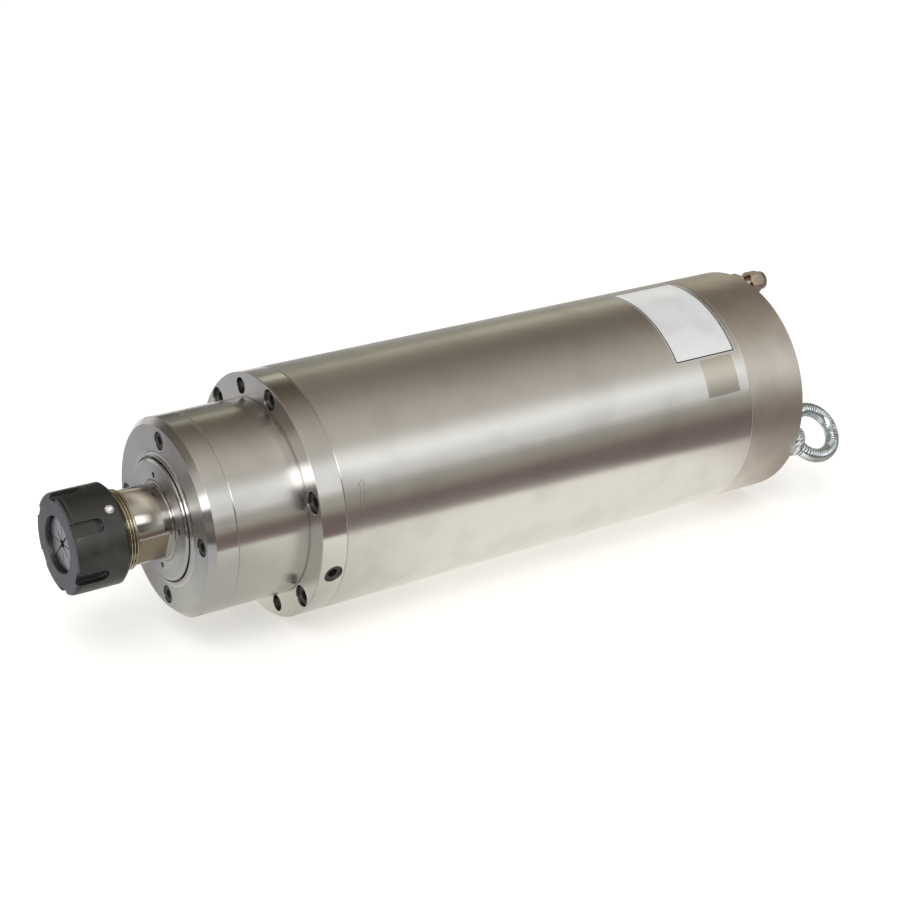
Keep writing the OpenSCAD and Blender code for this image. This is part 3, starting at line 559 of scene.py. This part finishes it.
shaft = copy_of("spindle_shaft", "threaded_shaft")
threaded_from_x = -0.0957
threaded_to_x = -0.0751
threaded_r = 0.01995
thread_root = 0.01903
select_where(shaft, lambda point: threaded_from_x < point.x < threaded_to_x
             and math.hypot(point.y, point.z) > 0.97 * threaded_r)
shrink = thread_root / threaded_r
bpy.ops.transform.resize(value=(1, shrink, shrink), center_override=(0, 0, 0))
bpy.ops.object.mode_set(mode="OBJECT")
shaft.data.materials.clear()
shaft.data.materials.append(shaft_steel)
bpy.ops.object.shade_smooth_by_angle(angle=math.radians(30))
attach(shaft, "rotor")
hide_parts("spindle_shaft")

# The shaft's thread for the nut, 1.5 mm in pitch. Oil and wear have turned its crests golden.
crest_steel, tree, shader = new_finish("crest_steel")
smudge = add_group(tree, handling)["Smudge"]
feed(tree, shader, blend_colours(tree, smudge, (0.66, 0.59, 0.44), (0.46, 0.40, 0.29)),
     between(tree, smudge, 0, 1, 0.20, 0.34))
thread = thread_ridge("shaft_thread", start_x=-0.0950, end_x=-0.0746, crest=0.01994,
                      pitch=0.0015, side=0.00135)
thread.data.materials.append(crest_steel)
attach(thread, "rotor")


# The collet is spring steel, hardened and ground, and thin slits run into it from both ends.
# Its grinding marks are finer than those on the shaft.
def dress(material, *names):
    for name in names:
        nodes[name].material_slots[0].material = material


collet_steel = turned_steel(
    "collet_steel", (0.66, 0.65, 0.69), roughness=0.30, smear=0.5, wave_depth=0.000001,
    lines_per_metre=2200.0, edge=0.0002)[0]
dress(collet_steel, "collet")


# The collet nut is black oxide steel. The oxide is worn to bare steel along the edges of its
# slots, and the balancing dimple is drilled through it to bright metal.
dimple_x = -0.0870
dimple_r = 0.0250
dimple_angle = math.radians(130)
nut_oxide, tree, shader = new_finish("nut_oxide", metallic=0.85)
marks = add_group(tree, turned_marks, 1300.0)
smudge = add_group(tree, handling)["Smudge"]
edges = add_group(tree, edge_wear, 0.00045)
surface = tree.nodes.new("ShaderNodeNewGeometry")
front_face = calculate(
    tree, "LESS_THAN", split(tree, surface.outputs["Normal"])["X"], -0.75)
worn = calculate(tree, "MULTIPLY", edges["Edge"], between(tree, smudge, 0.0, 1.0, 0.45, 0.95))
from_dimple = measure(
    tree, "DISTANCE", object_place(tree),
    (dimple_x, dimple_r * math.cos(dimple_angle), dimple_r * math.sin(dimple_angle)))
in_dimple = between(tree, from_dimple, 0.0020, 0.0024, 1.0, 0.0)
side_tone = blend_colours(tree, smudge, (0.085, 0.087, 0.085), (0.125, 0.127, 0.125))
# Painted sheen: the front face is painted lighter and more lilac than the sides.
face_tone_painted_sheen = blend_colours(tree, smudge, (0.20, 0.19, 0.215), (0.235, 0.225, 0.25))
tone = blend_colours(tree, front_face, side_tone, face_tone_painted_sheen)
tone = blend_colours(tree, worn, tone, (0.46, 0.46, 0.47))
tone = blend_colours(tree, in_dimple, tone, (0.97, 0.96, 0.95))
feed(tree, shader, tone, between(tree, smudge, 0, 1, 0.30, 0.42),
     bump(tree, marks["Lines"], 0.000003, edges["Normal"]))
dress(nut_oxide, "collet_nut")


# The slinger and the front cover are turned stainless rings. Their faces show fine rings and
# their edges are broken.
slinger_steel = turned_steel(
    "slinger_steel", (0.74, 0.735, 0.74), roughness=0.16, smear=1.0, wave_depth=0.0000015,
    lines_per_metre=1500.0, face_roughness=0.38)[0]
dress(slinger_steel, "slinger")
cover_steel = turned_steel(
    "cover_steel", (0.78, 0.77, 0.765), roughness=0.19, smear=1.0, wave_depth=0.000002,
    lines_per_metre=1100.0, face_roughness=0.38)[0]
dress(cover_steel, "front_cover")


# The front flange and its nose are one turning of the same stainless steel. The nose is left a
# little duller than the flange behind it.
nose_end_x = -0.0005
flange_steel, tree, shader = turned_steel(
    "flange_steel", (0.78, 0.765, 0.745), roughness=0.17, smear=0.9, wave_depth=0.000003,
    lines_per_metre=800.0, edge=0.0005)
on_nose = calculate(tree, "LESS_THAN", split(tree, object_place(tree))["X"], nose_end_x)
roughen(tree, shader, on_nose, 0.07)
dress(flange_steel, "front_flange")


# The socket screws, the plug in the flange and the rear locknut are oiled black oxide steel.
# Light catches the rims of their heads and of their hexagons.
screw_oxide, tree, shader = new_finish("screw_oxide", metallic=0.6)
smudge = add_group(tree, handling)["Smudge"]
edges = add_group(tree, edge_wear, 0.0003)
grain = cloud(tree, object_place(tree), 2600.0, 2.0)
rims = calculate(tree, "MULTIPLY", edges["Edge"], 0.6)
tone = blend_colours(tree, smudge, (0.06, 0.058, 0.058), (0.09, 0.087, 0.087))
feed(tree, shader, blend_colours(tree, rims, tone, (0.36, 0.355, 0.35)),
     between(tree, smudge, 0, 1, 0.36, 0.50), bump(tree, grain, 0.000004, edges["Normal"]))
dress(screw_oxide, "flange_screws", "cover_screws", "rear_screws", "flange_plug",
      "rear_locknut")


# The barrel is a polished stainless tube. Its polishing marks run round it, and the tube is not
# perfectly true, so what it mirrors wavers a little. A frosted patch stands beside the label.
def distance_from(tree, value, centre):
    return calculate(tree, "ABSOLUTE", calculate(tree, "SUBTRACT", value, centre))


def strip(tree, value, centre, half_width, blur):
    return between(tree, distance_from(tree, value, centre), half_width, half_width + blur,
                   1.0, 0.0)


barrel_steel, tree, shader = turned_steel(
    "barrel_steel", (0.80, 0.785, 0.765), roughness=0.30, smear=0.98, wave_depth=0.00010,
    lines_per_metre=300.0, edge=None)
place = object_place(tree)
axes = split(tree, place)
patch = calculate(
    tree, "MULTIPLY",
    strip(tree, axes["X"], centre=0.2525, half_width=0.0107, blur=0.0005),
    strip(tree, angle_round_axis(tree, axes), centre=math.radians(151.9),
          half_width=math.radians(9.3), blur=math.radians(0.5)))
frost = calculate(tree, "MULTIPLY", cloud(tree, place, 2400.0, 2.0), patch)
polished = shader.inputs["Normal"].links[0].from_socket
tint(tree, shader, patch, (0.60, 0.56, 0.49))
roughen(tree, shader, patch, 0.14)
join(tree, (bump(tree, frost, 0.000006, polished), shader.inputs["Normal"]))
dress(barrel_steel, "barrel")


# A blank metal label is glued on the barrel near its rear end. It is a thin bent plate with a
# thin dark border line round a bare silver field.
def bent_plate(name, from_x, to_x, from_degrees, to_degrees, radius, thickness):
    bpy.ops.mesh.primitive_plane_add(size=1, location=((from_x + to_x) / 2, 0, 0))
    plate = bpy.context.object
    plate.name = name
    plate.scale = ((to_x - from_x), thickness, 1)
    bpy.ops.object.transform_apply(location=True, rotation=True, scale=True)
    bpy.ops.object.mode_set(mode="EDIT")
    bpy.ops.mesh.select_all(action="SELECT")
    bpy.ops.transform.translate(value=(0, radius + thickness / 2, 0))
    bpy.ops.transform.rotate(
        value=-math.radians(from_degrees), orient_axis="X", center_override=(0, 0, 0))
    bpy.ops.mesh.spin(
        steps=48, angle=-math.radians(to_degrees - from_degrees), center=(0, 0, 0),
        axis=(1, 0, 0))
    bpy.ops.mesh.select_all(action="SELECT")
    bpy.ops.mesh.remove_doubles(threshold=0.0000005)
    bpy.ops.mesh.normals_make_consistent(inside=False)
    bpy.ops.object.mode_set(mode="OBJECT")
    return plate


barrel_r = 0.0625
label_start_x = 0.2262
label_end_x = 0.2670
label_start_degrees = 82.7
label_end_degrees = 141.4
label = bent_plate(
    "blank_label", label_start_x, label_end_x, label_start_degrees, label_end_degrees,
    radius=barrel_r + 0.00001, thickness=0.00009)
label_film, tree, shader = new_finish("label_film", metallic=0.3)
place = object_place(tree)
axes = split(tree, place)
from_ends = calculate(
    tree, "SUBTRACT", (label_end_x - label_start_x) / 2,
    distance_from(tree, axes["X"], (label_start_x + label_end_x) / 2))
from_sides = calculate(
    tree, "SUBTRACT", math.radians((label_end_degrees - label_start_degrees) / 2),
    distance_from(tree, angle_round_axis(tree, axes),
                  math.radians((label_start_degrees + label_end_degrees) / 2)))
inward = calculate(tree, "MINIMUM", from_ends, calculate(tree, "MULTIPLY", from_sides, barrel_r))
border = calculate(tree, "MULTIPLY", between(tree, inward, 0.00020, 0.00030),
                   between(tree, inward, 0.0010, 0.0011, 1.0, 0.0))
smudge = add_group(tree, handling)["Smudge"]
brush = cloud(tree, stretched(tree, place, (60, 3000, 3000)), 1.0, 2.0)
tone = blend_colours(tree, smudge, (0.88, 0.89, 0.905), (0.80, 0.805, 0.81))
feed(tree, shader, blend_colours(tree, border, tone, (0.05, 0.05, 0.055)),
     between(tree, brush, 0.3, 0.7, 0.28, 0.42), bump(tree, brush, 0.0000015))
label.data.materials.append(label_film)
bpy.ops.object.shade_smooth_by_angle(angle=math.radians(30))
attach(label, "housing")


# An arrow is etched in outline on the front of the barrel to show the way the spindle turns.
# It is drawn flat as an outline, cut down to a narrow line and wrapped onto the barrel.
arrow_corners = (
    (0.0248, 158.3), (0.0264, 160.5), (0.0253, 160.9), (0.0236, 173.9), (0.0215, 174.3),
    (0.0231, 161.2), (0.0219, 160.9))
arrow_line_width = 0.00022
arrow_line_height = 0.00002
arrow_middle = math.radians(166)
bpy.ops.mesh.primitive_circle_add(
    vertices=len(arrow_corners), fill_type="NGON", location=(0, 0, 0))
arrow = bpy.context.object
arrow.name = "rotation_arrow"
for corner, (x, degrees) in zip(arrow.data.vertices, arrow_corners):
    corner.co = (x, (arrow_middle - math.radians(degrees)) * barrel_r, 0)
bpy.ops.object.mode_set(mode="EDIT")
bpy.ops.mesh.select_all(action="SELECT")
bpy.ops.mesh.inset(thickness=arrow_line_width)
bpy.ops.mesh.delete(type="FACE")
bpy.ops.mesh.select_all(action="SELECT")
bpy.ops.mesh.subdivide(number_cuts=9)
bpy.ops.transform.rotate(
    value=-(arrow_middle - math.radians(90)), orient_axis="X", center_override=(0, 0, 0))
bpy.ops.transform.translate(value=(
    0, 1.01 * barrel_r * math.cos(arrow_middle), 1.01 * barrel_r * math.sin(arrow_middle)))
bpy.ops.object.mode_set(mode="OBJECT")
wrap = arrow.modifiers.new("wrap", "SHRINKWRAP")
wrap.target = nodes["barrel"]
wrap.offset = 0.00001
bpy.ops.object.modifier_apply(modifier=wrap.name)
depth = arrow.modifiers.new("depth", "SOLIDIFY")
depth.thickness = arrow_line_height
bpy.ops.object.modifier_apply(modifier=depth.name)
arrow_etch, tree, shader = new_finish("arrow_etch", metallic=0.6)
smudge = add_group(tree, handling)["Smudge"]
feed(tree, shader, blend_colours(tree, smudge, (0.34, 0.32, 0.29), (0.22, 0.20, 0.18)),
     between(tree, smudge, 0, 1, 0.42, 0.58))
arrow.data.materials.append(arrow_etch)
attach(arrow, "housing")


# The rear cover is turned from steel and left satin, with faint stains on it from handling and
# coolant. Screws in its rear face hold it.
rear_steel, tree, shader = turned_steel(
    "rear_steel", (0.74, 0.69, 0.635), roughness=0.42, smear=0.25, wave_depth=0.000003,
    lines_per_metre=600.0, edge=0.0005)
stain = between(tree, cloud(tree, object_place(tree), 62.0, 4.0), 0.34, 0.68)
tint(tree, shader, stain, (0.65, 0.61, 0.575))
dress(rear_steel, "rear_cover")


# The eye bolt is forged and zinc plated. Its ring is a little lumpy, shows in bright facets and
# is creased across by the forging.
eye = copy_of("eye_bolt", "forged_eye")
skin = eye.modifiers.new("skin", "REMESH")
skin.mode = "VOXEL"
skin.voxel_size = 0.0006
skin.use_smooth_shade = True
bpy.ops.object.modifier_apply(modifier=skin.name)
softer = eye.modifiers.new("softer", "SMOOTH")
softer.factor = 0.5
softer.iterations = 4
bpy.ops.object.modifier_apply(modifier=softer.name)
eye_centre = Vector((0.326, -0.05199, -0.02027))
eye_turn = math.radians(50)
eye_across = Vector((0, math.cos(eye_turn), math.sin(eye_turn)))
crease_count = 54.0
zinc, tree, shader = new_finish("zinc_plate")
place = object_place(tree)
smudge = add_group(tree, handling)["Smudge"]
spots = cloud(tree, place, 420.0, 3.0)
hammered = tree.nodes.new("ShaderNodeTexVoronoi")
hammered.feature = "SMOOTH_F1"
hammered.inputs["Scale"].default_value = 330.0
tree.links.new(place, hammered.inputs["Vector"])
ring_angle = calculate(
    tree, "ARCTAN2",
    calculate(tree, "SUBTRACT", measure(tree, "DOT_PRODUCT", place, tuple(eye_across)),
              eye_across.dot(eye_centre)),
    calculate(tree, "SUBTRACT", split(tree, place)["X"], eye_centre.x))
creases = calculate(
    tree, "MULTIPLY",
    calculate(tree, "SINE", calculate(tree, "MULTIPLY", ring_angle, crease_count)),
    between(tree, cloud(tree, place, 110.0, 1.0), 0.42, 0.58))
lumps = bump(tree, hammered.outputs["Distance"], 0.00025, bump(tree, spots, 0.00002))
feed(tree, shader, blend_colours(tree, smudge, (0.80, 0.90, 0.95), (0.66, 0.75, 0.82)),
     between(tree, spots, 0.3, 0.7, 0.12, 0.24), bump(tree, creases, 0.00022, lumps))
eye.data.materials.clear()
eye.data.materials.append(zinc)
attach(eye, "housing")
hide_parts("eye_bolt")


# The water fittings in the rear cover and their ribbed nuts are nickel plated brass. The
# plating is browned by age and worn bright along the edges.
brown_nickel, tree, shader = new_finish("brown_nickel")
smudge = add_group(tree, handling)["Smudge"]
edges = add_group(tree, edge_wear, 0.00035)
grain = cloud(tree, object_place(tree), 700.0, 2.0)
worn = calculate(tree, "MULTIPLY", edges["Edge"], 0.8)
tone = blend_colours(tree, smudge, (0.50, 0.40, 0.33), (0.34, 0.27, 0.22))
feed(tree, shader, blend_colours(tree, worn, tone, (0.84, 0.78, 0.68)),
     between(tree, smudge, 0, 1, 0.13, 0.26), bump(tree, grain, 0.00001, edges["Normal"]))
dress(brown_nickel, "water_fittings", "fitting_nuts")


# The power socket has a die cast shell, a black plastic insert with plated pins, and four
# plated screws. A thread for the plug's ring runs round the shell.
def plain_finish(name, colour, roughness, grain_scale, grain_depth, metallic=1.0):
    material, tree, shader = new_finish(name, metallic)
    smudge = add_group(tree, handling)["Smudge"]
    edges = add_group(tree, edge_wear, 0.0003)
    grain = cloud(tree, object_place(tree), grain_scale, 3.0)
    worn = calculate(tree, "MULTIPLY", edges["Edge"], 0.6)
    lighter = tuple(min(1.0, 1.25 * part + 0.03) for part in colour)
    tone = blend_colours(tree, smudge, colour, shade(colour, 0.8))
    feed(tree, shader, blend_colours(tree, worn, tone, lighter),
         between(tree, grain, 0.3, 0.7, roughness * 0.85, min(1.0, roughness * 1.2)),
         bump(tree, grain, grain_depth, edges["Normal"]))
    return material


socket_metal = plain_finish(
    "socket_metal", (0.66, 0.67, 0.68), roughness=0.32, grain_scale=900.0,
    grain_depth=0.00002)
dress(socket_metal, "power_socket")
screw_plating = plain_finish(
    "screw_plating", (0.64, 0.64, 0.66), roughness=0.24, grain_scale=1500.0,
    grain_depth=0.000006)
dress(screw_plating, "socket_screws")
insert_face_x = 0.31404
insert_plastic, tree, shader = new_finish("insert_plastic")
place = object_place(tree)
on_pins = calculate(tree, "GREATER_THAN", split(tree, place)["X"], insert_face_x)
grain = cloud(tree, place, 1400.0, 2.0)
feed(tree, shader, blend_colours(tree, on_pins, (0.045, 0.045, 0.05), (0.82, 0.70, 0.42)),
     between(tree, grain, 0.3, 0.7, 0.30, 0.46), bump(tree, grain, 0.00001))
join(tree, (on_pins, shader.inputs["Metallic"]))
dress(insert_plastic, "socket_insert")
socket_thread = thread_ridge("socket_thread", start_x=0.3125, end_x=0.3215, crest=0.01249,
                             pitch=0.0010, side=0.0008)
socket_thread.data.materials.append(socket_metal)
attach(socket_thread, "housing")


# Inside, every piece keeps its own metal. The bearing rings and balls are bright bearing steel
# with cages of brown resin, and their spacers and housing are ground steel and cast iron.
bearing_steel = turned_steel(
    "bearing_steel", (0.70, 0.70, 0.71), roughness=0.14, smear=0.7, wave_depth=0.000001,
    lines_per_metre=1600.0)[0]
dress(bearing_steel, "front_outer_rings", "front_inner_rings", "rear_outer_rings",
      "rear_inner_rings")
ball_steel = plain_finish(
    "ball_steel", (0.78, 0.79, 0.81), roughness=0.08, grain_scale=500.0,
    grain_depth=0.0000003)
dress(ball_steel, "front_balls", "rear_balls")
cage_resin = plain_finish(
    "cage_resin", (0.42, 0.25, 0.11), roughness=0.45, grain_scale=1500.0,
    grain_depth=0.00001, metallic=0.0)
dress(cage_resin, "front_cages", "rear_cages")
spacer_steel = turned_steel(
    "spacer_steel", (0.56, 0.57, 0.59), roughness=0.26, smear=0.6, wave_depth=0.000001,
    lines_per_metre=1400.0)[0]
dress(spacer_steel, "front_outer_spacer", "front_inner_spacer", "rear_outer_spacer",
      "rear_inner_spacer")
housing_iron = plain_finish(
    "housing_iron", (0.52, 0.52, 0.51), roughness=0.42, grain_scale=800.0,
    grain_depth=0.00003)
dress(housing_iron, "rear_housing")
spring_steel = turned_steel(
    "spring_steel", (0.36, 0.36, 0.39), roughness=0.30, smear=0.5, wave_depth=0.000001,
    lines_per_metre=1800.0)[0]
dress(spring_steel, "preload_springs")


# The water jacket is turned aluminium, with grooves for the water round it. The rings that
# seal it are black rubber.
jacket_aluminium = turned_steel(
    "jacket_aluminium", (0.78, 0.79, 0.80), roughness=0.30, smear=0.6, wave_depth=0.000002,
    lines_per_metre=1000.0)[0]
dress(jacket_aluminium, "water_jacket")
seal_rubber = plain_finish(
    "seal_rubber", (0.03, 0.03, 0.032), roughness=0.55, grain_scale=1800.0,
    grain_depth=0.00001, metallic=0.0)
dress(seal_rubber, "jacket_seals")


# The motor has stacks of thin laminations, varnished copper windings, three insulated leads
# and a cast cage in the rotor.
lamination_thickness = 0.00025
lamination, tree, shader = new_finish("lamination", metallic=0.9)
smudge = add_group(tree, handling)["Smudge"]
sheets = calculate(
    tree, "PINGPONG", split(tree, object_place(tree))["X"], lamination_thickness)
feed(tree, shader, blend_colours(tree, smudge, (0.40, 0.40, 0.41), (0.26, 0.25, 0.25)),
     between(tree, smudge, 0, 1, 0.34, 0.52), bump(tree, sheets, 0.05))
dress(lamination, "stator_core", "rotor_core")
copper, tree, shader = new_finish("varnished_copper", metallic=0.9)
shader.inputs["Coat Weight"].default_value = 0.6
smudge = add_group(tree, handling)["Smudge"]
strand = cloud(tree, object_place(tree), 620.0, 3.0)
feed(tree, shader, blend_colours(tree, smudge, (0.66, 0.30, 0.14), (0.40, 0.16, 0.08)),
     between(tree, strand, 0.3, 0.7, 0.22, 0.40), bump(tree, strand, 0.00012))
dress(copper, "stator_winding")
lead_insulation = plain_finish(
    "lead_insulation", (0.50, 0.07, 0.05), roughness=0.48, grain_scale=1200.0,
    grain_depth=0.00003, metallic=0.0)
dress(lead_insulation, "phase_leads")
cage_aluminium = plain_finish(
    "cage_aluminium", (0.68, 0.69, 0.70), roughness=0.34, grain_scale=700.0,
    grain_depth=0.00003)
dress(cage_aluminium, "rotor_cage")
